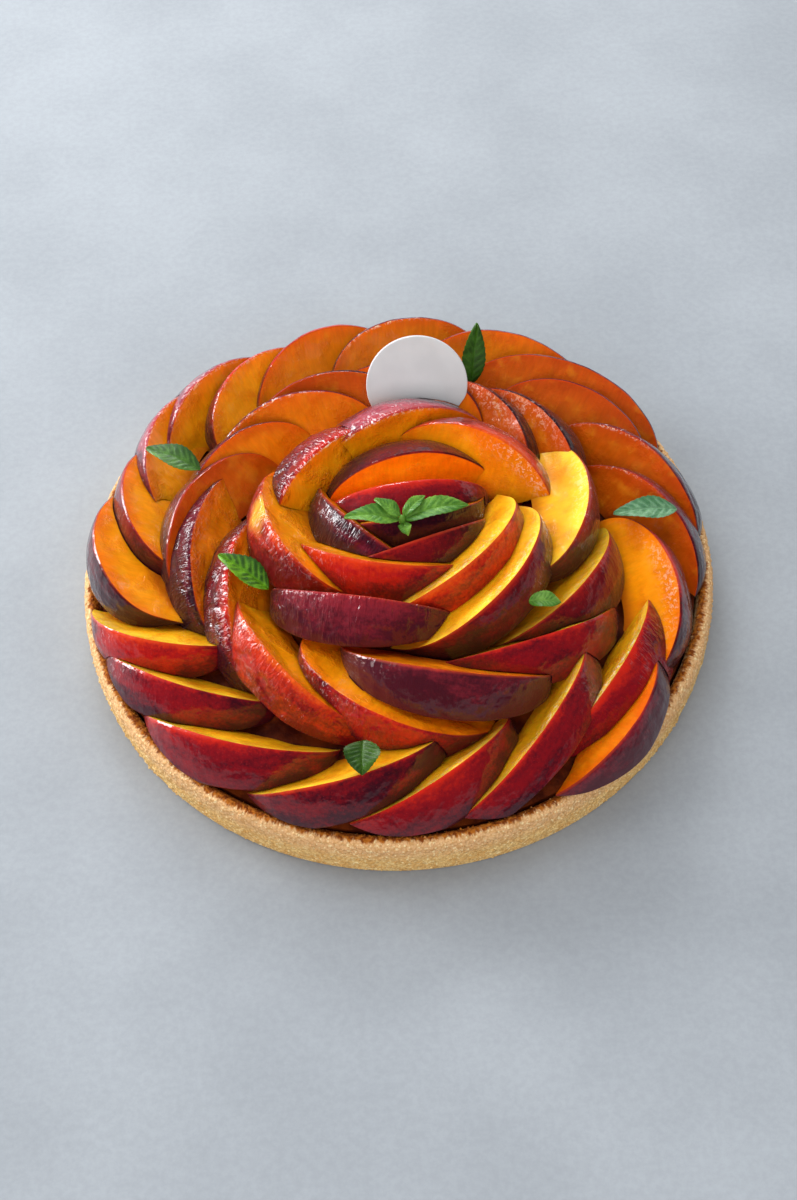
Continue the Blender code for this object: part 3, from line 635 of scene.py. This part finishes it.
def slice_mesh(item, stem_first, seed, blank):
    """Points (along, out, up) and faces of a slice, and each face's material: 0 for skin, 1 for flesh.

    A blank has no hollow and is larger by the gap all round, to cut what lies on the slice. What it
    cuts is an underside, so it is finished as skin.
    """
    spread = GAP if blank else 0.0
    wrinkle = 0.0 if blank else item.wrinkle
    share, along, reach, core, hollow = slice_sections(item, stem_first, spread)
    if blank:
        hollow = np.full(len(share), BLANK_HOLLOW)
    half_angle = math.radians(item.opening) / 2
    stations = np.stack([share * 3, share * 0, share * 0], axis=1)
    knife = {}
    for side, nth in ((1, 1), (-1, 2)):
        knife[side] = half_angle + KNIFE_WOBBLE * lattice_noise(stations, 0.6, seed + nth)
    fade = np.sin(math.pi * share) ** 0.5
    round_off = np.minimum(KNIFE_ROUND, 0.25 * reach)

    def skin_column(u):
        angle = knife[-1 if u < 0 else 1] * u
        spot = np.stack([along, reach * angle, reach * 0], axis=1)
        swell = SKIN_SWELL * fade * lattice_noise(spot, 0.013, seed + 5)
        swell += 0.3 * SKIN_SWELL * fade * lattice_noise(spot, 0.004, seed + 6)
        swell += SKIN_CRINKLE * wrinkle * fade * lattice_noise(spot * (1.0, 0.4, 1.0), 0.0026, seed + 7)
        edge_gap = np.maximum((1 - abs(u)) * half_angle * reach, 1e-9)
        near = np.clip(1 - edge_gap / round_off, 0, 1)
        radial = reach + swell - round_off * (1 - np.sqrt(1 - near ** 2)) * 0.75
        return np.stack([along, radial * np.cos(angle), radial * np.sin(angle)], axis=1)

    def face_column(side, step):
        t = (step / FACE_STEPS) ** 1.25
        radial = (reach - 1.1 * round_off) * (1 - t) + hollow * t
        place = along * (1 - t) + core * t
        spot = np.stack([place, radial, reach * 0 + side * 0.05], axis=1)
        sag = FACE_SAG * fade * math.sin(math.pi * t) * (1 + lattice_noise(spot, 0.010, seed + 9)) - spread
        across = radial * np.sin(knife[side]) - sag * np.cos(knife[side])
        out = radial * np.cos(knife[side]) + sag * np.sin(knife[side])
        return np.stack([place, out, side * across], axis=1)

    def hollow_column(u):
        angle = half_angle * u
        return np.stack([core, hollow * math.cos(angle), hollow * math.sin(angle)], axis=1)

    columns = [skin_column(2 * step / SKIN_STEPS - 1) for step in range(SKIN_STEPS + 1)]
    columns += [face_column(1, step) for step in range(1, FACE_STEPS + 1)]
    columns += [hollow_column(1 - 2 * step / HOLLOW_STEPS) for step in range(1, HOLLOW_STEPS)]
    columns += [face_column(-1, step) for step in range(FACE_STEPS, 0, -1)]
    block = np.stack(columns, axis=1)[1:-1]
    rows, count = block.shape[:2]
    points = np.concatenate([[(along[0], 0, 0)], block.reshape(-1, 3), [(along[-1], 0, 0)]])
    flesh = np.arange(count) >= (count if blank else SKIN_STEPS)
    kinds = np.concatenate([np.tile(flesh, rows - 1), np.repeat(flesh, 2)])
    return points, capped_faces(rows, count), kinds.astype(np.int32)


def swung(first, second, degrees):
    """Two directions at right angles, swung in their plane from the first one towards the second."""
    angle = math.radians(degrees)
    ahead = first * math.cos(angle) + second * math.sin(angle)
    beside = second * math.cos(angle) - first * math.sin(angle)
    return ahead, beside


def slice_placement(ring, item):
    """Matrix that puts a slice mesh in its place in the tart."""
    outward = towards(item.bearing)
    square, lead = swung(outward, UP.cross(outward) * ring.sense, item.turn)
    along, over = swung(lead, UP, ring.pitch)
    out, rise = swung(square, over, item.incline - item.opening / 2)
    edge = swung(square, over, item.incline)[0]
    middle = outward * item.radius + UP * (ring.rim_height + item.lift)
    axes = Matrix((along, out, rise)).transposed().to_4x4()
    return Matrix.Translation(middle - edge * PEACH_RADIUS) @ axes


def placed_slice(name, item, placement, stem_first, seed, *materials):
    """Makes a slice in its place, which can mirror it. Without materials it is a blank."""
    points, faces, kinds = slice_mesh(item, stem_first, seed, blank=not materials)
    piece = mesh_object(name, points, faces, *materials)
    piece.data.transform(placement)
    piece.data.polygons.foreach_set("material_index", kinds)
    face_outwards(piece)
    return piece


def boxes_meet(first, second):
    one = point_values(first)
    two = point_values(second)
    return bool(np.all(one.min(0) < two.max(0)) and np.all(two.min(0) < one.max(0)))


def cut_away(piece, cutters):
    for cutter in cutters:
        modifier = piece.modifiers.new("cut", "BOOLEAN")
        modifier.operation = "DIFFERENCE"
        modifier.solver = "MANIFOLD"
        modifier.object = cutter
    graph = bpy.context.evaluated_depsgraph_get()
    mesh = bpy.data.meshes.new_from_object(piece.evaluated_get(graph))
    piece.modifiers.clear()
    piece.data = mesh


def keep_largest_body(piece):
    """Drops the scraps that a cut leaves behind."""
    shape = bmesh.new()
    shape.from_mesh(piece.data)
    left = set(shape.faces)
    bodies = []
    while left:
        body = set()
        front = [left.pop()]
        while front:
            face = front.pop()
            body.add(face)
            for edge in face.edges:
                for other in edge.link_faces:
                    if other in left:
                        left.remove(other)
                        front.append(other)
        bodies.append(body)
    largest = max(bodies, key=lambda body: sum(face.calc_area() for face in body))
    scraps = [face for body in bodies if body is not largest for face in body]
    if scraps:
        bmesh.ops.delete(shape, geom=scraps, context="FACES")
        loose = [vertex for vertex in shape.verts if not vertex.link_faces]
        bmesh.ops.delete(shape, geom=loose, context="VERTS")
        shape.to_mesh(piece.data)
    shape.free()


def paint_slice(piece, placement, item, stem_first, seed):
    """Writes what the skin and flesh materials read: places on the peach, and the slice's own tones."""
    local = (point_values(piece) - np.array(placement.translation)) @ np.array(placement.to_3x3())
    along, out, rise = local.T
    radial = np.hypot(out, rise)
    angle = np.arctan2(rise, out)
    _, places, reach, _, _ = slice_sections(item, stem_first, 0.0)
    order = np.argsort(places)
    skin_radius = np.interp(along, places[order], reach[order])
    depth = np.maximum(skin_radius - radial, 0)
    on_surface = depth < ON_SKIN
    half_angle = math.radians(item.opening) / 2
    upper_edge = np.maximum(half_angle - angle, 0) * skin_radius
    across = np.clip(angle / half_angle, -1, 1)
    share = along / (PEACH_HALF_LENGTH * item.stretch)
    # where the painted white glints go: on the skin near its upper cut edge, and on the cut face just under
    # the skin
    skin_glint, flesh_glint, glint_place, glint_spread = item.glint
    glint = skin_glint * np.clip(1.2 * across, 0, 1) * on_surface
    glint = glint + flesh_glint * bell(depth, 0.0030, 0.0030) * ~on_surface
    patch = item.pale * bell(share, -0.12, 0.20) * np.clip(0.30 + 0.9 * across, 0, 1)
    rough = 0.5 + 0.5 * lattice_noise(local, 0.004, seed)
    deep, blush, along_cut = SKINS[item.skin]
    rim, middle = FLESHES[item.flesh]
    write(
        piece,
        peach_at=np.stack([along, angle * PEACH_RADIUS, radial], axis=1) + np.multiply(PEACH_SHIFT, seed),
        depth=depth,
        edge=np.where(on_surface, upper_edge, 1.0),
        # painted light and shade: the skin is lighter towards its upper cut edge and darker below it; also
        # darker towards the ends
        lit=item.blush - 0.08 + np.where(on_surface, 0.30 * across - 0.60 * share ** 2, 0.0),
        # painted light along the upper cut edge, fading towards the ends
        near_cut=0.62 * np.exp(-upper_edge / 0.0026) * on_surface - 0.40 * share ** 4,
        glint=bell(share, glint_place, glint_spread) * glint,
        wrinkle=item.wrinkle,
        pale=np.clip(1.4 * patch - 0.5 * rough * (patch < 0.8), 0, 0.9),
        skin_deep=deep,
        skin_blush=blush,
        skin_edge=along_cut,
        flesh_rim=rim,
        flesh_middle=middle)


def make_bed_cutter():
    """What the slices rest on, with the gap added: the filling's crown and the shell's rim."""
    rim_top = SHELL_HEIGHT + RIM_RELIEF + 0.0003 + GAP
    profile = [(0, -0.02), (0.125, -0.02), (0.125, rim_top), (SHELL_RADIUS - SHELL_WALL - GAP, rim_top)]
    profile += [(share * FILLING_RADIUS, height + GAP) for share, height in FILLING_CROWN[1:]]
    profile.append((0, FILLING_TOP + GAP))
    return turned_solid("bed_cutter", profile, BED_STEPS)


def make_slices(materials, bed_cutter):
    """Makes the slices, each one cut to the shape of those made before it and of the bed."""
    blanks = []
    for ring in RINGS:
        for number, item in enumerate(ring.slices):
            seed = len(blanks) + 1
            node = f"{ring.name}_{number + 1:02d}"
            stem_first = number % 3 == 1
            placement = slice_placement(ring, item)
            piece = placed_slice(f"{node}_fruit", item, placement, stem_first, seed, *materials)
            cut_away(piece, [blank for blank in blanks if boxes_meet(piece, blank)] + [bed_cutter])
            keep_largest_body(piece)
            paint_slice(piece, placement, item, stem_first, seed)
            add_piece(piece, node)
            blanks.append(placed_slice("blank", item, placement, stem_first, seed))
    return blanks


# ==== pastry shell and filling ====
def make_shell(material):
    """The pastry shell: a gritty side, a ragged browned rim, and loose crumbs baked onto both."""
    inner = SHELL_RADIUS - SHELL_WALL
    visible = even_steps((
        (SHELL_FOOT_RADIUS, 0.0004),
        (SHELL_RADIUS - 0.0005, 0.0025),
        (SHELL_RADIUS - 0.0002, 0.0070),
        (SHELL_RADIUS - 0.0002, 0.0115),
        (SHELL_RADIUS - 0.0005, 0.0155),
        (SHELL_RADIUS - 0.0012, SHELL_HEIGHT - 0.0012),
        (SHELL_RADIUS - 0.0024, SHELL_HEIGHT - 0.0002),
        (SHELL_RADIUS - 0.0036, SHELL_HEIGHT),
        (inner + 0.0010, SHELL_HEIGHT - 0.0006),
        (inner, SHELL_HEIGHT - 0.0022),
    ), SHELL_PROFILE_STEP)
    foot = inner - SHELL_DRAFT
    rows = np.array([(SHELL_FOOT_RADIUS - 0.004, 0.0)] + visible + [(foot, 0.012), (foot, SHELL_FLOOR)])
    angles = np.arange(SHELL_STEPS) * (2 * math.pi / SHELL_STEPS)
    radius, angle = (grid.ravel() for grid in np.meshgrid(rows[:, 0], angles, indexing="ij"))
    height = np.repeat(rows[:, 1], SHELL_STEPS)
    outward = np.stack([np.cos(angle), np.sin(angle), angle * 0], axis=1)
    flat = outward * radius[:, None]
    flat[:, 2] = height
    shown = np.zeros(len(rows))
    shown[1:len(visible) + 1] = 1
    shown[1:4] = (0.0, 0.4, 0.8)
    shown[len(visible) - 2:len(visible) + 1] = (0.8, 0.5, 0.2)
    shown = np.repeat(shown, SHELL_STEPS)
    upper = np.clip((height - 0.012) / 0.005, 0, 1)
    coarse = lattice_noise(flat, 0.0026, 3)
    grit = lattice_noise(flat, 0.0011, 4)
    fine = lattice_noise(flat, 0.0006, 5)
    relief = (LUMPS * coarse + (GRIT - 0.00014 * upper) * grit + SAND * fine - SUNK) * shown
    ridges = lattice_noise(np.stack([angle * SHELL_RADIUS, radius * 0.3, height * 0.3], axis=1), 0.0011, 6)
    wave = sum(np.sin(count * angle + phase) for count, phase in RIM_WAVES) / len(RIM_WAVES)
    rim = np.clip((height - RIM_START) / 0.003, 0, 1) * shown
    inwards = np.clip((SHELL_RADIUS - 0.0020 - radius) / 0.003, 0, 1)
    points = flat + outward * (relief * (1 - 0.7 * inwards))[:, None]
    points[:, 2] += rim * (0.7 * RIM_RELIEF * wave + 0.00030 * inwards * (coarse + grit + ridges))
    body = np.concatenate([[(0, 0, 0)], points, [(0, 0, SHELL_FLOOR)]])
    crumbs, crumb_faces = make_crumbs(points[shown > 0.7], len(body))
    faces = capped_faces(len(rows), SHELL_STEPS) + crumb_faces
    item = mesh_object("pastry_case", np.concatenate([body, crumbs]), faces, material)
    x, y, z = point_values(item).T
    out = np.hypot(x, y)
    brown = baked_share(x, out, z)
    brown[len(body):] *= 0.8
    rim_at = np.stack([np.arctan2(y, x) * SHELL_RADIUS, out * 0.3, z * 0.3], axis=1)
    write(item, brown=brown, rim_at=rim_at, upper=np.clip((z - 0.0085) / 0.006, 0, 1))
    add_piece(item, "pastry_shell", 70)


def baked_share(x, out, z):
    """How browned the pastry is: most along the rim's inner edge, a little at its top and on the left."""
    rim = np.clip((z - RIM_START) / 0.0035, 0, 1)
    inwards = np.clip((SHELL_RADIUS - 0.0014 - out) / 0.0040, 0, 1)
    left = 0.5 - 0.5 * x / SHELL_RADIUS
    return rim * (0.06 + 0.22 * left + 0.95 * inwards)


def make_crumbs(places, offset):
    """Points and faces of small irregular crumbs that stand half out of the shell's side and rim."""
    draw = np.random.default_rng(41)
    chance = np.where(places[:, 2] < CRUMBY_FOOT, 3.0, 1.0)
    centres = places[draw.choice(len(places), CRUMBS, replace=False, p=chance / chance.sum())]
    shape = bmesh.new()
    bmesh.ops.create_icosphere(shape, subdivisions=1, radius=1.0)
    ball = np.array([vertex.co for vertex in shape.verts])
    ball_faces = [[vertex.index for vertex in face.verts] for face in shape.faces]
    shape.free()
    made = []
    faces = []
    for centre in centres:
        size = CRUMB_SIZE + CRUMB_GROWTH * draw.random() ** 2
        lumps = size * (0.8 + 0.4 * draw.random((len(ball), 1))) * (0.75 + 0.5 * draw.random(3))
        faces += shifted(ball_faces, offset + len(made) * len(ball))
        made.append(centre * (1 - 0.0001 / np.linalg.norm(centre)) + ball * lumps)
    return np.concatenate(made), faces


def make_filling(material):
    crown = [(share * FILLING_RADIUS, height) for share, height in FILLING_CROWN] + [(0, FILLING_TOP)]
    base = SHELL_FLOOR + GAP
    profile = [(0, base), (FILLING_RADIUS, base)] + even_steps(crown, FILLING_PROFILE_STEP)
    item = turned_solid("baked_cream", profile, FILLING_STEPS, material)
    points = point_values(item)
    relief = 0.0003 * lattice_noise(points, 0.006, 8) + 0.00015 * lattice_noise(points, 0.002, 9)
    points[:, 2] += np.where(points[:, 2] > FILLING_EDGE_HEIGHT + 0.0001, relief - 0.0002, 0)
    item.data.vertices.foreach_set("co", points.ravel())
    add_piece(item, "filling")


# ==== plaque ====
def make_plaque(material, cutters):
    half = PLAQUE_THICKNESS / 2
    inner = PLAQUE_RADIUS - PLAQUE_ROUND
    upper = [(share * PLAQUE_RADIUS, half) for share in (0.25, 0.5, 0.75, 0.92)]
    for angle in np.radians((0, 22, 45, 68, 90)):
        drop = PLAQUE_ROUND * (1 - math.cos(angle))
        upper.append((inner + PLAQUE_ROUND * math.sin(angle), half - drop))
    profile = [(0, -half)] + [(radius, -height) for radius, height in upper] + upper[::-1] + [(0, half)]
    item = turned_solid("blank_disc", profile, PLAQUE_STEPS, material)
    facing = Euler((math.radians(90 - PLAQUE_LEAN), 0, 0)).to_matrix().to_4x4()
    item.data.transform(Matrix.Translation(PLAQUE_PLACE) @ facing)
    cut_away(item, [cutter for cutter in cutters if boxes_meet(item, cutter)])
    keep_largest_body(item)
    add_piece(item, "plaque")


# ==== mint leaves ====
def leaf_mesh(foot, tip, width, fold, curl, upwards=UP):
    """A toothed leaf with raised veins: its points, its faces, and each point's vein strength and side."""
    foot = Vector(foot)
    spine = Vector(tip) - foot
    along = spine.normalized()
    side = upwards.cross(along).normalized()
    up = along.cross(side)
    shares = np.linspace(0, 1, LEAF_STATIONS + 1)
    sides = np.linspace(-1, 1, LEAF_COLUMNS + 1)
    share, column = (grid.ravel() for grid in np.meshgrid(shares, sides, indexing="ij"))
    half = 0.5 * width * np.maximum(np.sin(math.pi * share ** 0.8), 0) ** 0.8 + 0.0002
    saw = (share * LEAF_TEETH) % 1.0
    half = half * (1 + 0.09 * (saw - 0.5) * np.minimum(1, 6 * share * (1 - share)))
    outward = np.abs(column)
    phase = (share * LEAF_VEIN_PAIRS - 1.5 * outward) % 1.0
    groove = bell(phase, 0.5, 0.16) * np.clip(outward * 6, 0, 1) * (1 - outward ** 4)
    midrib = bell(outward * half, 0, 0.00035)
    puff = 0.00022 * (width / 0.0085) * (1 - groove) * np.sin(math.pi * np.clip(outward, 0, 1)) ** 0.7
    ripple = 0.0004 * np.sin(9 * share + 2 * column) * outward
    lift = 4 * curl * share * (1 - share) + half * outward * math.tan(math.radians(fold))
    lift = lift + ripple + puff - 0.00018 * midrib
    upper = np.array(foot) + np.outer(share, spine) + np.outer(half * column, side) + np.outer(lift, up)
    lower = upper - np.outer(LEAF_THICKNESS * (0.35 + 0.65 * (1 - outward ** 3)), up)
    count = len(upper)
    faces = []
    for corner, right, across, ahead in grid_faces(len(shares), len(sides), False):
        top = [(corner, right, across), (corner, across, ahead)]
        faces += top + [tuple(count + number for number in face[::-1]) for face in top]
    numbers = np.arange(count).reshape(len(shares), len(sides))
    for line in (numbers[:, 0], numbers[:, -1], numbers[0], numbers[-1]):
        faces += [(first, second, count + second, count + first) for first, second in zip(line, line[1:])]
    marks = np.stack([np.clip(groove + midrib, 0, 1), column], axis=1)
    return np.concatenate([upper, lower]), faces, np.concatenate([marks, marks])


def stand_on(piece, node):
    """Moves a piece up or down so that its middle height is the node's."""
    low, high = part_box(node)
    points = point_values(piece)
    shift = (low.z + high.z) / 2 - (points[:, 2].min() + points[:, 2].max()) / 2
    piece.data.transform(Matrix.Translation((0, 0, shift)))


def dress_leaf(piece, node, marks, light, dark):
    # sunny is painted light: it lightens one side of each leaf
    write(piece, vein=marks[:, 0], sunny=0.18 * marks[:, 1], leaf_light=light, leaf_dark=dark)
    add_piece(piece, node, 50)


def make_loose_leaves(material):
    for leaf in LEAVES:
        upright = leaf.node == "mint_leaf_back"
        upwards = Vector((0, -1, 0.6)) if upright else UP
        points, faces, marks = leaf_mesh(leaf.foot, leaf.tip, leaf.width, leaf.fold, leaf.curl, upwards)
        piece = mesh_object(leaf.node.replace("mint_leaf", "leaf"), points, faces, material)
        if not upright:
            stand_on(piece, leaf.node)
        dress_leaf(piece, leaf.node, marks, leaf.light, leaf.dark)


def sprig_parts():
    """Points, faces and marks of each of the sprig's leaves, and of its stalk."""
    for bearing, length, width, foot_height, tip_height in SPRIG_LEAVES:
        heading = towards(bearing)
        foot = SPRIG_CENTRE + heading * 0.0007 + UP * foot_height
        tip = SPRIG_CENTRE + heading * length + UP * tip_height
        yield leaf_mesh(foot, tip, width, SPRIG_FOLD, SPRIG_CURL * length)
    angles = np.arange(STALK_STEPS) * (2 * math.pi / STALK_STEPS)
    rings = [np.stack([r * np.cos(angles), r * np.sin(angles), angles * 0 + z], axis=1) for r, z in STALK]
    points = np.concatenate(rings) + np.array(SPRIG_CENTRE)
    ends = [tuple(range(STALK_STEPS))[::-1], tuple(range(len(points) - STALK_STEPS, len(points)))]
    yield points, grid_faces(len(STALK), STALK_STEPS, True) + ends, np.tile((0.6, 0.0), (len(points), 1))


def make_sprig(material):
    """Five leaves round a short stalk, as one piece."""
    parts = list(sprig_parts())
    faces = []
    offset = 0
    for points, own_faces, _ in parts:
        faces += shifted(own_faces, offset)
        offset += len(points)
    piece = mesh_object("sprig_of_mint", np.concatenate([part[0] for part in parts]), faces, material)
    stand_on(piece, "mint_sprig")
    dress_leaf(piece, "mint_sprig", np.concatenate([part[2] for part in parts]), *SPRIG_TONES)


# ==== stage ====
def make_floor(material):
    half = FLOOR_HALF_SIZE
    corners = [(-half, -half, 0), (half, -half, 0), (half, half, 0), (-half, half, 0)]
    mesh_object("floor", corners, [(0, 1, 2, 3)], material)


def add_light(row):
    light = bpy.data.lights.new(row.name, "AREA")
    light.shape = "RECTANGLE"
    light.size, light.size_y = row.size
    light.energy = row.power
    light.color = row.tone
    item = bpy.data.objects.new(row.name, light)
    item.visible_glossy = row.mirrored
    item.location = towards(row.azimuth, row.elevation, row.distance)
    item.rotation_euler = (UP * row.aim - item.location).to_track_quat("-Z", "Y").to_euler()
    bpy.context.collection.objects.link(item)


def light_scene():
    world = bpy.data.worlds.new("pale_room")
    world.use_nodes = True
    background = world.node_tree.nodes["Background"]
    background.inputs["Color"].default_value = ROOM_TONE
    background.inputs["Strength"].default_value = ROOM_STRENGTH
    world.cycles_visibility.glossy = False
    bpy.context.scene.world = world
    for row in LIGHTS:
        add_light(row)


def place_camera():
    lens = bpy.data.cameras.new("camera")
    lens.sensor_width = SENSOR
    lens.lens = SENSOR * FOCAL_PIXELS / IMAGE_HEIGHT
    tilt = Matrix.Rotation(math.radians(90 - CAMERA_ELEVATION), 4, "X")
    roll = Matrix.Rotation(math.radians(CAMERA_ROLL), 4, "Z")
    away = Matrix.Translation((0, 0, CAMERA_DISTANCE))
    camera = bpy.data.objects.new("camera", lens)
    camera.matrix_world = Matrix.Translation(CAMERA_TARGET) @ tilt @ roll @ away
    bpy.context.collection.objects.link(camera)
    bpy.context.scene.camera = camera


def build():
    bpy.context.scene.view_settings.view_transform = "Standard"
    place_camera()
    light_scene()
    make_floor(floor_material())
    make_shell(pastry_material())
    make_filling(filling_material())
    bed_cutter = make_bed_cutter()
    blanks = make_slices((skin_material(), flesh_material()), bed_cutter)
    make_plaque(plaque_material(), blanks + [bed_cutter])
    mint = mint_material()
    make_loose_leaves(mint)
    make_sprig(mint)
    for blank in blanks + [bed_cutter]:
        bpy.data.objects.remove(blank, do_unlink=True)


build()
